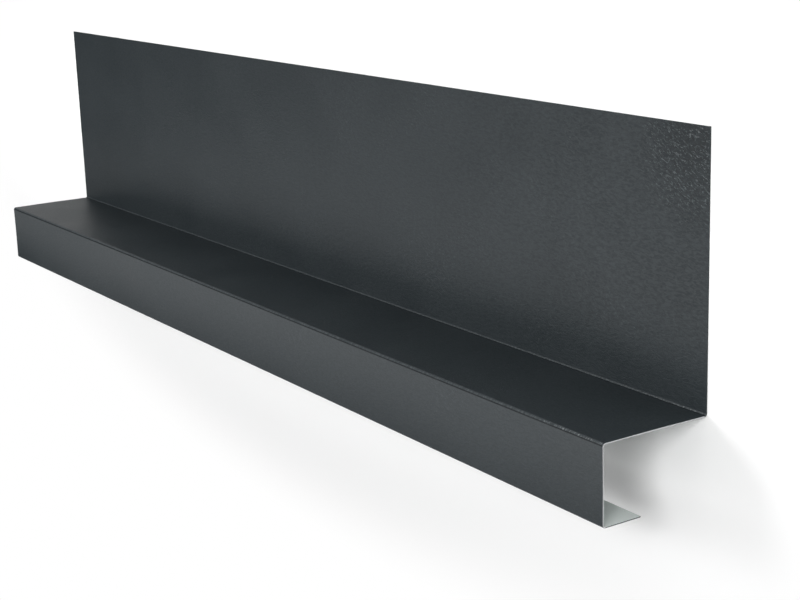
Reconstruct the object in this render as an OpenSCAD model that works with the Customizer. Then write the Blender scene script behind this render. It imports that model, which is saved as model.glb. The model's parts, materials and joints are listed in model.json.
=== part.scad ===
// Drip flashing: one strip of coated steel sheet with three long folds.
// From its free top edge the strip runs down the upstand, out along the shelf,
// down the face and back in along a short return, where water lets go.
// It lies on the back of its upstand: the shelf stands up and the face is on top.
// Millimetres. X runs along the flashing and Z is up. The weather side looks to -Y and +Z.
// The origin is under the middle of the strip, on the floor.

/* [Length] */
// Length of the strip between its two square-cut ends
length = 800; // [200:10:3000]

/* [Legs, measured over the outside of the bends] */
// Upstand, from its free edge to the underside of the shelf
upstand_h = 150; // [40:1:300]
// Shelf, from the back of the upstand to the front of the face
shelf_d = 70; // [20:1:200]
// Face, from the top of the shelf to the underside of the return
face_h = 45; // [15:1:120]
// Return, from the front of the face to its free edge
return_d = 25; // [8:1:60]

/* [Sheet] */
// Thickness of the sheet with its coat
sheet_t = 0.7; // [0.5:0.1:1.5]
// Inner radius of every bend
bend_r = 1.2; // [0.5:0.1:2.5]

/* [Bends] */
// Bend at the heel, from the upstand to the shelf, in degrees
heel_bend = 90; // [80:1:100]
// Bend at the nose, from the shelf to the face, in degrees
nose_bend = 90; // [80:1:100]
// Bend at the drip edge, from the face to the return, in degrees
drip_bend = 90; // [70:1:110]

/* [Hidden] */
$fn = 96;

// What a bend takes from an outside size, on each of its two legs
function setback(bend) = (bend_r + sheet_t) * tan(bend / 2);

// Flat lengths between the bends, in the order in which the strip is folded
flats = [
    upstand_h - setback(heel_bend),
    shelf_d - setback(heel_bend) - setback(nose_bend),
    face_h - setback(nose_bend) - setback(drip_bend),
    return_d - setback(drip_bend)
];
// Bends between those flats: up at the heel, then over and down
bends = [heel_bend, -nose_bend, -drip_bend];
// Width over the whole section with square bends, from the upstand's edge to the return
section_w = upstand_h + face_h - sheet_t;

// A bend of the sheet about the Z axis, from the end of a flat that came in along +X.
// A positive angle turns towards the weather side, a negative one away from it.
// What follows the bend is carried round with it.
module bend(angle) {
    centre_y = angle > 0 ? sheet_t + bend_r : -bend_r;
    translate([0, centre_y, 0]) {
        rotate(angle > 0 ? -90 : 90 + angle)
            rotate_extrude(angle = abs(angle))
                translate([bend_r, 0])
                    square([sheet_t, length]);
        rotate(angle)
            translate([0, -centre_y, 0])
                children();
    }
}

// Flats and bends one after another, from leg i on, with the section in the XY plane
module folded_strip(i = 0) {
    cube([flats[i], sheet_t, length]);
    if (i < len(bends))
        translate([flats[i], 0, 0])
            bend(bends[i])
                folded_strip(i + 1);
}

module flashing() {
    color("#41474a")
        translate([-length / 2, -section_w / 2, 0])
            rotate([90, 0, 90])
                folded_strip();
}

flashing();
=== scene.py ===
import json
import math
from collections import namedtuple

import bpy
from mathutils import Matrix, Vector, noise

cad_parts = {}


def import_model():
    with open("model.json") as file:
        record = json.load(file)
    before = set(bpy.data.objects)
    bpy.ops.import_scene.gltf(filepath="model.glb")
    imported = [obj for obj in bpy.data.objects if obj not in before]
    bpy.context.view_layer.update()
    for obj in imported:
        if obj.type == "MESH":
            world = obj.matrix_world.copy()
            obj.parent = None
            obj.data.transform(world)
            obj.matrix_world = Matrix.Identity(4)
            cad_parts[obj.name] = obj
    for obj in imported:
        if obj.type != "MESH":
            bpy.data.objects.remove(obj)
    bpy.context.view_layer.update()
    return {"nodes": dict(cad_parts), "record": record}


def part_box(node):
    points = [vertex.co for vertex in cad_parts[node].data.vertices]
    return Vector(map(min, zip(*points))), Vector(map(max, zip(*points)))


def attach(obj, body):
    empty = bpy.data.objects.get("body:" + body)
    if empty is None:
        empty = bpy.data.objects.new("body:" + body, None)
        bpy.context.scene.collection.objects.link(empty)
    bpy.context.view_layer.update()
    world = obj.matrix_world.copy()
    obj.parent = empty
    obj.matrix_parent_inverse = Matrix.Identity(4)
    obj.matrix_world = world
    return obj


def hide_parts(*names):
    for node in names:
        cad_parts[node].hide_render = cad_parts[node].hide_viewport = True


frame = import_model()

# Metres, in the frame of the solids. The strip lies on the back of its upstand, with the face on top.
# X runs along it from its near end, and the coated side of the upstand looks up.
MM = 0.001

# Sizes of the folded strip, read from the frame
mounts = {mount["name"]: Vector(mount["pos_m"]) for mount in frame["record"]["mounts"]}
strip_lo, strip_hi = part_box("flashing")
length = strip_hi.x - strip_lo.x
sheet_t = mounts["upstand_front"].z
upstand_h = mounts["shelf_underside"].y - strip_lo.y
shelf_d = strip_hi.z - strip_lo.z
face_h = strip_hi.y - strip_lo.y - upstand_h + sheet_t
solid_points = [vertex.co for vertex in frame["nodes"]["flashing"].data.vertices]
return_side = [co for co in solid_points if strip_hi.y - co.y < 0.1 * MM]
return_d = strip_hi.z - min(co.z for co in return_side)

# The bends, whose radius the frame doesn't give
BEND_R = 1.2 * MM
BEND_ANGLES = [90, -90, -90]  # degrees
UPSTAND, SHELF, FACE, RETURN = range(4)

# Finish of the sheet
EDGE_ROUND = 0.12 * MM
ROUNDING = [(0.0, 1.0), (0.3, 0.3), (1.0, 0.0)]  # shares of EDGE_ROUND: from the cut, and depth there
WAVE_HEIGHT = 0.25 * MM
WAVES_ALONG, WAVES_ACROSS, WAVE_SEED = 5.0, 9.0, 3.7  # the first two are per metre
BEND_SHADE_AT, BEND_SHADE_REACH = 0.80, 0.28  # where the dark line of painted shade lies on each bend, and its reach, as shares of the way round it
COAT, PRIMER, CUT_EDGE = range(3)

# How finely the sheet is divided
FLAT_STEP = 6 * MM
BEND_STEPS = 12
RING_STEP = 8 * MM

# Pattern of the coat, on the unrolled sheet
WRINKLE_SLANT = math.radians(-27)
WRINKLE_DRAWN_OUT = (2.8, 1, 1)
WRINKLED_CORNER = (strip_lo.x + 12 * MM, 14 * MM, 0.0)
WRINKLED_REACH = 54 * MM
RIPPLE_FACTORS = (0.36, 1.0, 1.0)  # below 1 draws the pattern out in that direction
SPECK_FACTORS = (1.0, 0.4, 1.0)
BEND_GLINTS_REACH = 90 * MM  # how far from the near end the painted glints in the folds reach
GRAINY_REACH = 300 * MM  # how far from the near end the grain is stronger
GRAINY_FROM_EDGE = 90 * MM  # where that begins to fade, from the upstand's free edge

# Colours, linear
COAT_DARK = (0.0105, 0.0148, 0.0172, 1.0)
COAT_PALE = (0.0320, 0.0386, 0.0424, 1.0)
# Painted shade in the hollows between the wrinkles
PAINTED_HOLLOW_SHADE = (0.009, 0.011, 0.0125, 1.0)
# Painted highlight on the tops of the wrinkles
PAINTED_WRINKLE_HIGHLIGHT = (0.22, 0.24, 0.25, 1.0)
# Painted highlight along each bend
PAINTED_BEND_HIGHLIGHT = (0.064, 0.073, 0.078, 1.0)
# Painted shade: the dark line beside each bend's highlight
PAINTED_BEND_SHADE = (0.006, 0.0075, 0.0085, 1.0)
# Painted glints: pale specks in the bends
PAINTED_BEND_GLINTS = (0.32, 0.34, 0.35, 1.0)
PRIMER_DARK = (0.45, 0.487, 0.476, 1.0)
PRIMER_PALE = (0.515, 0.553, 0.542, 1.0)
METAL_DARK = (0.42, 0.43, 0.44, 1.0)
METAL_PALE = (0.58, 0.59, 0.60, 1.0)
PAPER = (0.955, 0.955, 0.955, 1.0)
WHITE = (1.0, 1.0, 1.0, 1.0)

COATING_IOR = 1.5

# Floor, and the oval of plain paper on it round the strip
FLOOR_REACH = 15.0
PAPER_OVAL = (0.36, 1.0, 0.0)
PAPER_TO, WHITE_FROM = 0.17, 0.25

# Strength of the world's light, and towards the far end
STUDIO_LIGHT, FAR_END_LIGHT = 0.12, 0.04

# Camera
CAMERA_AT = Vector((-0.9904, -0.2211, 0.5696))
CAMERA_LOOK = Vector((0.8121, 0.2487, -0.5279))
CAMERA_UP = Vector((0.1906, -0.9681, -0.1630))
CAMERA_LENS = 74.3

# A point of the section on the reverse side, the way out from there through the sheet, how deep the rounding
# of a free edge takes the surface, the leg (None in a bend), and the share of the way along the leg or bend
Station = namedtuple("Station", "place out depth leg share")


def outwards(along):
    """The way from the reverse side to the weather side, where the section runs along."""
    return Vector((-along.y, along.x))


def flat_stations(start, along, flat, leg):
    """Stations of one flat, closer together at a free edge."""
    steps = max(2, round(flat / FLAT_STEP))
    spots = [(flat * i / steps, 0.0) for i in range(steps + 1)]
    if leg == UPSTAND:
        spots = [(d * EDGE_ROUND, depth * EDGE_ROUND) for d, depth in ROUNDING] + spots[1:]
    if leg == RETURN:
        cut = [(flat - d * EDGE_ROUND, depth * EDGE_ROUND) for d, depth in reversed(ROUNDING)]
        spots = spots[:-1] + cut
    return [Station(start + along * d, outwards(along), depth, leg, d / flat) for d, depth in spots]


def section_stations():
    """The section from the upstand's free edge round the three bends to the return's."""
    outer_r = BEND_R + sheet_t
    flats = [upstand_h - outer_r, shelf_d - 2 * outer_r, face_h - 2 * outer_r, return_d - outer_r]
    place, along = Vector((strip_lo.y, 0)), Vector((1, 0))
    stations = []
    for leg, flat in enumerate(flats):
        stations += flat_stations(place, along, flat, leg)
        if leg == RETURN:
            break
        place, out = place + along * flat, outwards(along)
        turn = math.radians(BEND_ANGLES[leg])
        centre = place + out * (outer_r if turn > 0 else -BEND_R)
        for i in range(1, BEND_STEPS):
            spin = Matrix.Rotation(turn * i / BEND_STEPS, 2)
            spot = centre + spin @ (place - centre)
            stations.append(Station(spot, spin @ out, 0.0, None, i / BEND_STEPS))
        spin = Matrix.Rotation(turn, 2)
        place, along = centre + spin @ (place - centre), spin @ along
    return stations


def ring_places():
    """Where the section is repeated, closer together at both ends, as X and the rounding's depth."""
    inner_lo = strip_lo.x + EDGE_ROUND
    inner_length = length - 2 * EDGE_ROUND
    spans = round(inner_length / RING_STEP)
    cuts = ROUNDING[:-1]
    near = [(strip_lo.x + d * EDGE_ROUND, depth * EDGE_ROUND) for d, depth in cuts]
    middle = [(inner_lo + inner_length * i / spans, 0.0) for i in range(spans + 1)]
    far = [(strip_hi.x - d * EDGE_ROUND, depth * EDGE_ROUND) for d, depth in reversed(cuts)]
    return near + middle + far


def wave(x, girth, leg, share):
    """How far the thin sheet stands off true: nothing at a bend, most at a free edge, and never out of the
    solid's box."""
    if leg is None:
        return 0.0
    middle = math.sin(math.pi * share) ** 2
    free = [(1 - share) ** 2, middle, middle, share ** 2][leg]
    inwards = [1, 1, -1, -1][leg]
    swell = 0.5 + 0.5 * noise.noise(Vector((x * WAVES_ALONG, girth * WAVES_ACROSS, WAVE_SEED)))
    return inwards * WAVE_HEIGHT * free * swell


def strip_points(stations, rings):
    """The points ring by ring, first those of the weather side, and what the materials read at each:
    its place on the unrolled sheet, how near the middle of a bend it is, and how strong the painted shade
    line on the bend is there."""
    girths = [0.0]
    for a, b in zip(stations, stations[1:]):
        girths.append(girths[-1] + (b.place - a.place).length)
    verts, unrolled, crease, bend_shade_line = [], [], [], []
    for x, end_depth in rings:
        for weather in (True, False):
            for (place, out, depth, leg, share), girth in zip(stations, girths):
                depth = max(depth, end_depth)
                across = (sheet_t - depth if weather else depth) + wave(x, girth, leg, share)
                point = place + out * across
                verts.append((x, point.x, point.y))
                unrolled += [x, girth, 0.0]
                bent = leg is None
                crease.append(math.sin(math.pi * share) ** 2 if bent else 0.0)
                # Painted shade: a dark line along each bend
                bend_shade_line.append(max(0.0, 1 - abs(share - BEND_SHADE_AT) / BEND_SHADE_REACH) if bent else 0.0)
    return verts, unrolled, crease, bend_shade_line


def strip_faces(stations, ring_count):
    """The faces of the closed skin, and each one's material. At the ends the shears left shelf and face bare,
    and the ends of upstand and return take the dark coat, a painted shade along those edges."""
    count = len(stations)
    last_ring, last = ring_count - 1, count - 1

    def at(ring, weather, i):
        return (2 * ring + (0 if weather else 1)) * count + i

    faces, finish = [], []
    for r in range(last_ring):
        for i in range(last):
            faces.append((at(r, True, i), at(r + 1, True, i), at(r + 1, True, i + 1), at(r, True, i + 1)))
            faces.append((at(r, False, i), at(r, False, i + 1), at(r + 1, False, i + 1), at(r + 1, False, i)))
            finish += [COAT, PRIMER]
        faces.append((at(r, True, 0), at(r, False, 0), at(r + 1, False, 0), at(r + 1, True, 0)))
        faces.append((at(r, True, last), at(r + 1, True, last), at(r + 1, False, last), at(r, False, last)))
        finish += [CUT_EDGE, CUT_EDGE]
    legs = [station.leg for station in stations]
    bare = range(legs.index(SHELF), legs.index(RETURN))
    far = last_ring
    for i in range(last):
        faces.append((at(0, True, i), at(0, True, i + 1), at(0, False, i + 1), at(0, False, i)))
        faces.append((at(far, True, i), at(far, False, i), at(far, False, i + 1), at(far, True, i + 1)))
        # The ends of upstand and return get the dark coat, as painted shade along those edges
        finish += [CUT_EDGE, CUT_EDGE] if i in bare else [COAT, COAT]
    return faces, finish


def folded_strip():
    """The folded sheet as one closed mesh: weather side, reverse side, and the slightly rounded cut edges."""
    stations, rings = section_stations(), ring_places()
    verts, unrolled, crease, bend_shade_line = strip_points(stations, rings)
    faces, finish = strip_faces(stations, len(rings))
    mesh = bpy.data.meshes.new("folded_strip")
    mesh.from_pydata(verts, [], faces)
    for material in (coat_material(), primer_material(), cut_edge_material()):
        mesh.materials.append(material)
    mesh.polygons.foreach_set("material_index", finish)
    mesh.polygons.foreach_set("use_smooth", [True] * len(faces))
    mesh.attributes.new("unrolled", "FLOAT_VECTOR", "POINT").data.foreach_set("vector", unrolled)
    for name, values in (("crease", crease), ("bend_shade_line", bend_shade_line)):
        mesh.attributes.new(name, "FLOAT", "POINT").data.foreach_set("value", values)
    mesh.validate()
    strip = bpy.data.objects.new("folded_strip", mesh)
    bpy.context.scene.collection.objects.link(strip)
    even = strip.modifiers.new("even_normals", "WEIGHTED_NORMAL")
    even.keep_sharp = True
    return strip


class Nodes:
    """A short way to write the node tree of a material or of the world."""

    def __init__(self, holder):
        self.holder = holder
        holder.use_nodes = True
        self.tree = holder.node_tree
        self.tree.nodes.clear()

    def add(self, kind, inputs=None, **settings):
        node = self.tree.nodes.new(kind)
        for key, value in settings.items():
            setattr(node, key, value)
        for key, value in (inputs or {}).items():
            if isinstance(value, bpy.types.NodeSocket):
                self.tree.links.new(value, node.inputs[key])
            else:
                node.inputs[key].default_value = value
        return node

    def attribute(self, name, output="Fac"):
        return self.add("ShaderNodeAttribute", attribute_name=name).outputs[output]

    def math(self, operation, a, b=0.0, clamp=False):
        return self.add("ShaderNodeMath", {0: a, 1: b}, operation=operation, use_clamp=clamp).outputs[0]

    def product(self, first, *others):
        for other in others:
            first = self.math("MULTIPLY", first, other)
        return first

    def scaled(self, vector, factors):
        return self.add("ShaderNodeVectorMath", {0: vector, 1: factors}, operation="MULTIPLY").outputs[0]

    def distance(self, a, b):
        return self.add("ShaderNodeVectorMath", {0: a, 1: b}, operation="DISTANCE").outputs["Value"]

    def axis(self, vector, name):
        return self.add("ShaderNodeSeparateXYZ", {0: vector}).outputs[name]

    def spread(self, value, low, high, to_low=0.0, to_high=1.0):
        """A smooth step from to_low, where the value is low, to to_high, where it is high."""
        inputs = {"Value": value, "From Min": low, "From Max": high, "To Min": to_low, "To Max": to_high}
        return self.add("ShaderNodeMapRange", inputs, interpolation_type="SMOOTHSTEP").outputs["Result"]

    def noise(self, vector, scale, detail=2.0, roughness=0.5, distortion=0.0):
        inputs = {"Vector": vector, "Scale": scale, "Detail": detail, "Roughness": roughness,
                  "Distortion": distortion}
        return self.add("ShaderNodeTexNoise", inputs).outputs["Fac"]

    def mix_colour(self, share, a, b):
        return self.add("ShaderNodeMix", {0: share, 6: a, 7: b}, data_type="RGBA").outputs[2]

    def bump(self, height, strength, distance):
        inputs = {"Strength": strength, "Distance": distance, "Height": height}
        return self.add("ShaderNodeBump", inputs).outputs[0]

    def rays(self):
        """1 for a ray from the camera, and 1 for a ray that was mirrored or went through glass."""
        ray = self.add("ShaderNodeLightPath").outputs
        return ray["Is Camera Ray"], self.math("MAXIMUM", ray["Is Glossy Ray"], ray["Is Transmission Ray"])

    def finish(self, shader, kind="ShaderNodeOutputMaterial"):
        self.add(kind, {"Surface": shader.outputs[0]})
        return self.holder


def coat_relief(n, place):
    """Ripples, wrinkles, the mask of painted shade in the hollows between these, and the corner where they
    are strongest, each 0 to 1.
    Wrinkles are drawn out along the slant and broken into short lengths. Fine ripples run along the sheet."""
    slanted = n.add("ShaderNodeMapping", {"Vector": place, "Rotation": (0, 0, WRINKLE_SLANT),
                                          "Scale": WRINKLE_DRAWN_OUT}, vector_type="TEXTURE").outputs[0]
    swirl = n.noise(slanted, 1000.0, detail=1.0, distortion=0.6)
    ridge = n.spread(n.math("ABSOLUTE", n.math("SUBTRACT", swirl, 0.5)), 0.0, 0.045, 1.0, 0.0)
    broken = n.spread(n.noise(slanted, 780.0, detail=1.0), 0.5, 0.56)
    patches = n.spread(n.noise(place, 16.0), 0.45, 0.7, 0.04, 0.16)
    corner = n.spread(n.distance(place, WRINKLED_CORNER), 0.0, WRINKLED_REACH, 1.0, 0.0)
    wrinkle = n.product(ridge, broken, n.math("MAXIMUM", patches, corner))
    # Where the painted shade in the hollows between wrinkles goes, in the corner only
    hollow_shade = n.product(n.spread(swirl, 0.57, 0.64, 0.0, 0.9), corner)
    rippled = n.noise(n.scaled(place, RIPPLE_FACTORS), 760.0, detail=3.0, roughness=0.6, distortion=0.8)
    return n.spread(rippled, 0.34, 0.66), wrinkle, hollow_shade, corner


def coat_tone(n, place, cloud, ripple, corner):
    """Dark and pale of the plain coat, 0 to 1: soft clouds and ripples, with more contrast on the upper near
    part of the upstand, and darker in the wrinkled corner as painted shade round the painted wrinkle
    highlights."""
    tone = n.math("ADD", n.spread(cloud, 0.3, 0.7, 0.0, 0.36), n.product(ripple, 0.64))
    near_end = n.spread(n.axis(place, "X"), strip_lo.x, strip_lo.x + GRAINY_REACH, 0.62, 0.0)
    upper = n.spread(n.axis(place, "Y"), GRAINY_FROM_EDGE, upstand_h, 1.0, 0.0)
    contrast = n.math("ADD", n.product(near_end, upper), 0.38)
    tone = n.math("ADD", n.product(n.math("SUBTRACT", tone, 0.5), contrast), 0.5)
    # Painted shade: the wrinkled corner is darkened round its painted highlights
    return n.math("SUBTRACT", tone, n.product(corner, 0.3), clamp=True)


def coat_folds(n, place, bend_shade, colour):
    """The colour with the folds in it: a painted highlight along each bend, a dark line of painted shade
    beside that, and painted glinting specks in the bends near the near end.
    """
    crease = n.attribute("crease")
    across = n.scaled(place, SPECK_FACTORS)
    speckle = n.spread(n.noise(across, 620.0), 0.42, 0.62, 0.2, 1.0)
    # Painted highlight along the middle of each bend, broken into specks
    colour = n.mix_colour(n.product(crease, speckle), colour, PAINTED_BEND_HIGHLIGHT)
    # Painted shade: a dark line beside each bend's highlight
    colour = n.mix_colour(bend_shade, colour, PAINTED_BEND_SHADE)
    # Painted glints: pale specks in the middle of the bends near the near end
    glint_specks = n.spread(n.noise(across, 1300.0, detail=1.0), 0.56, 0.66, 0.0, 0.6)
    near_end = n.spread(n.axis(place, "X"), strip_lo.x, strip_lo.x + BEND_GLINTS_REACH, 1.0, 0.0)
    middle = n.math("POWER", crease, 3.0)
    return n.mix_colour(n.product(glint_specks, near_end, middle), colour, PAINTED_BEND_GLINTS)


def coat_material():
    """Anthracite plastic coat with a fine leather grain."""
    n = Nodes(bpy.data.materials.new("anthracite_coat"))
    place = n.attribute("unrolled", "Vector")
    bend_shade = n.attribute("bend_shade_line")
    cloud = n.noise(place, 14.0, detail=4.0, roughness=0.55)
    ripple, wrinkle, hollow_shade, corner = coat_relief(n, place)
    height = n.math("ADD", n.product(ripple, 0.65), n.product(wrinkle, 1.4))
    normal = n.bump(height, 1.0, 0.08 * MM)
    colour = n.mix_colour(coat_tone(n, place, cloud, ripple, corner), COAT_DARK, COAT_PALE)
    # Painted shade in the wrinkle hollows
    colour = n.mix_colour(hollow_shade, colour, PAINTED_HOLLOW_SHADE)
    # Painted highlight on the wrinkle tops
    colour = n.mix_colour(n.product(wrinkle, 0.6), colour, PAINTED_WRINKLE_HIGHLIGHT)
    colour = coat_folds(n, place, bend_shade, colour)
    rough = n.math("SUBTRACT", n.spread(cloud, 0.3, 0.7, 0.40, 0.46), n.product(wrinkle, 0.12))

    # Half of it is matt, and all of it along the painted shade line of each bend, which keeps that line dark
    glossy = n.add("ShaderNodeBsdfPrincipled", {
        "Base Color": colour, "Roughness": rough, "Normal": normal, "IOR": COATING_IOR}).outputs[0]
    matt = n.add("ShaderNodeBsdfDiffuse", {"Color": colour, "Normal": normal}).outputs[0]
    matt_share = n.math("MAXIMUM", bend_shade, 0.5)
    return n.finish(n.add("ShaderNodeMixShader", {0: matt_share, 1: glossy, 2: matt}))


def primer_material():
    """Thin grey-green primer on the reverse of the sheet."""
    n = Nodes(bpy.data.materials.new("grey_primer"))
    place = n.attribute("unrolled", "Vector")
    colour = n.mix_colour(n.noise(place, 20.0, detail=4.0, roughness=0.6), PRIMER_DARK, PRIMER_PALE)
    normal = n.bump(n.noise(place, 1800.0, detail=3.0), 0.3, 0.02 * MM)
    return n.finish(n.add("ShaderNodeBsdfPrincipled", {
        "Base Color": colour, "Roughness": 0.42, "Normal": normal, "IOR": COATING_IOR}))


def cut_edge_material():
    """Bare zinc and steel where the sheet was cut."""
    n = Nodes(bpy.data.materials.new("cut_edge"))
    cloud = n.noise(n.attribute("unrolled", "Vector"), 300.0, detail=3.0)
    colour = n.mix_colour(cloud, METAL_DARK, METAL_PALE)
    return n.finish(n.add("ShaderNodeBsdfPrincipled", {
        "Base Color": colour, "Roughness": 0.38, "Metallic": 0.9}))


def floor():
    """Paper-white floor that keeps the strip's shadow. To the camera and reflections it turns white
    further out."""
    mesh = bpy.data.meshes.new("floor")
    corners = [(x * FLOOR_REACH, y * FLOOR_REACH, 0) for x, y in ((-1, -1), (1, -1), (1, 1), (-1, 1))]
    mesh.from_pydata(corners, [], [(0, 1, 2, 3)])
    plane = bpy.data.objects.new("floor", mesh)
    bpy.context.scene.collection.objects.link(plane)
    n = Nodes(bpy.data.materials.new("white_floor"))
    seen = n.math("MAXIMUM", *n.rays())
    oval = n.scaled(n.add("ShaderNodeNewGeometry").outputs["Position"], PAPER_OVAL)
    out = n.add("ShaderNodeVectorMath", {0: oval}, operation="LENGTH").outputs["Value"]
    white = n.product(seen, n.spread(out, PAPER_TO, WHITE_FROM))
    paper = n.add("ShaderNodeBsdfDiffuse", {"Color": PAPER}).outputs[0]
    glow = n.add("ShaderNodeEmission", {"Color": WHITE, "Strength": 1.0}).outputs[0]
    mesh.materials.append(n.finish(n.add("ShaderNodeMixShader", {0: white, 1: paper, 2: glow})))


def softbox(name, place, aim, width, height, radiance):
    """An area lamp of that size in metres. The floor under a wide one of radiance 1 looks white."""
    data = bpy.data.lights.new(name, "AREA")
    data.shape, data.size, data.size_y = "RECTANGLE", width, height
    data.energy = radiance * math.pi * width * height
    lamp = bpy.data.objects.new(name, data)
    lamp.location = place
    lamp.rotation_euler = (Vector(aim) - Vector(place)).to_track_quat("-Z", "Y").to_euler()
    lamp.visible_camera = False
    bpy.context.scene.collection.objects.link(lamp)


def world():
    """A dim studio, dimmest towards the far end. The camera sees it white, and so do reflections,
    except towards the far end."""
    n = Nodes(bpy.data.worlds.new("studio"))
    far = n.axis(n.add("ShaderNodeTexCoord").outputs["Generated"], "X")
    camera_ray, mirrored = n.rays()
    seen = n.math("MAXIMUM", camera_ray, n.product(mirrored, n.spread(far, 0.1, 0.5, 1.0, 0.0)))
    light = n.spread(far, 0.3, 1.0, STUDIO_LIGHT, FAR_END_LIGHT)
    strength = n.math("ADD", light, n.product(seen, n.math("SUBTRACT", 1.0, light)))
    shade = n.add("ShaderNodeBackground", {"Color": WHITE, "Strength": strength})
    bpy.context.scene.world = n.finish(shade, "ShaderNodeOutputWorld")


def lights():
    """The key comes from beyond the near end, so that the channel under the face keeps a dark core of shadow.
    The last three lamps are narrow and close, and set the tones of the nose and the face.
    Each has its place, what it looks at, its width and height, and its radiance."""
    softbox("key", (-2.15, -1.0, 2.7), (0, 0, 0), 1.0, 1.0, 22.6)
    softbox("far_key", (0.9, -0.6, 1.8), (0, 0, 0), 0.7, 0.7, 7.6)
    softbox("far_gleam", (0.5, 0.45, 1.3), (-0.3, 0, 0), 0.7, 0.7, 1.25)
    softbox("behind_upstand", (-0.9, -1.6, 0.5), (-0.1, 0, 0), 1.4, 0.8, 2.8)
    softbox("near_end", (-1.6, 0.1, 0.35), (-0.3, 0.05, 0.05), 0.8, 0.4, 0.15)
    softbox("over_nose", (0.0, -0.05, 0.32), (0.0, 0.06, 0.07), 1.2, 0.1, 0.85)
    softbox("face_top", (0.1, 0.102, 0.20), (0.1, 0.0, 0.20), 1.4, 0.16, 1.35)
    softbox("face_bounce", (-0.08, 0.14, 0.23), (-0.08, 0.0, 0.17), 1.3, 0.2, 0.56)


def camera():
    """The photograph's view of the strip, rolled with it."""
    data = bpy.data.cameras.new("camera")
    data.lens = CAMERA_LENS
    eye = bpy.data.objects.new("camera", data)
    right = CAMERA_LOOK.cross(CAMERA_UP).normalized()
    up = right.cross(CAMERA_LOOK).normalized()
    turn = Matrix((right, up, -CAMERA_LOOK.normalized())).transposed()
    eye.matrix_world = Matrix.Translation(CAMERA_AT) @ turn.to_4x4()
    bpy.context.scene.collection.objects.link(eye)
    bpy.context.scene.camera = eye


strip = folded_strip()
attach(strip, "root")
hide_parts("flashing")
floor()
world()
lights()
camera()
bpy.context.scene.view_settings.view_transform = "Standard"
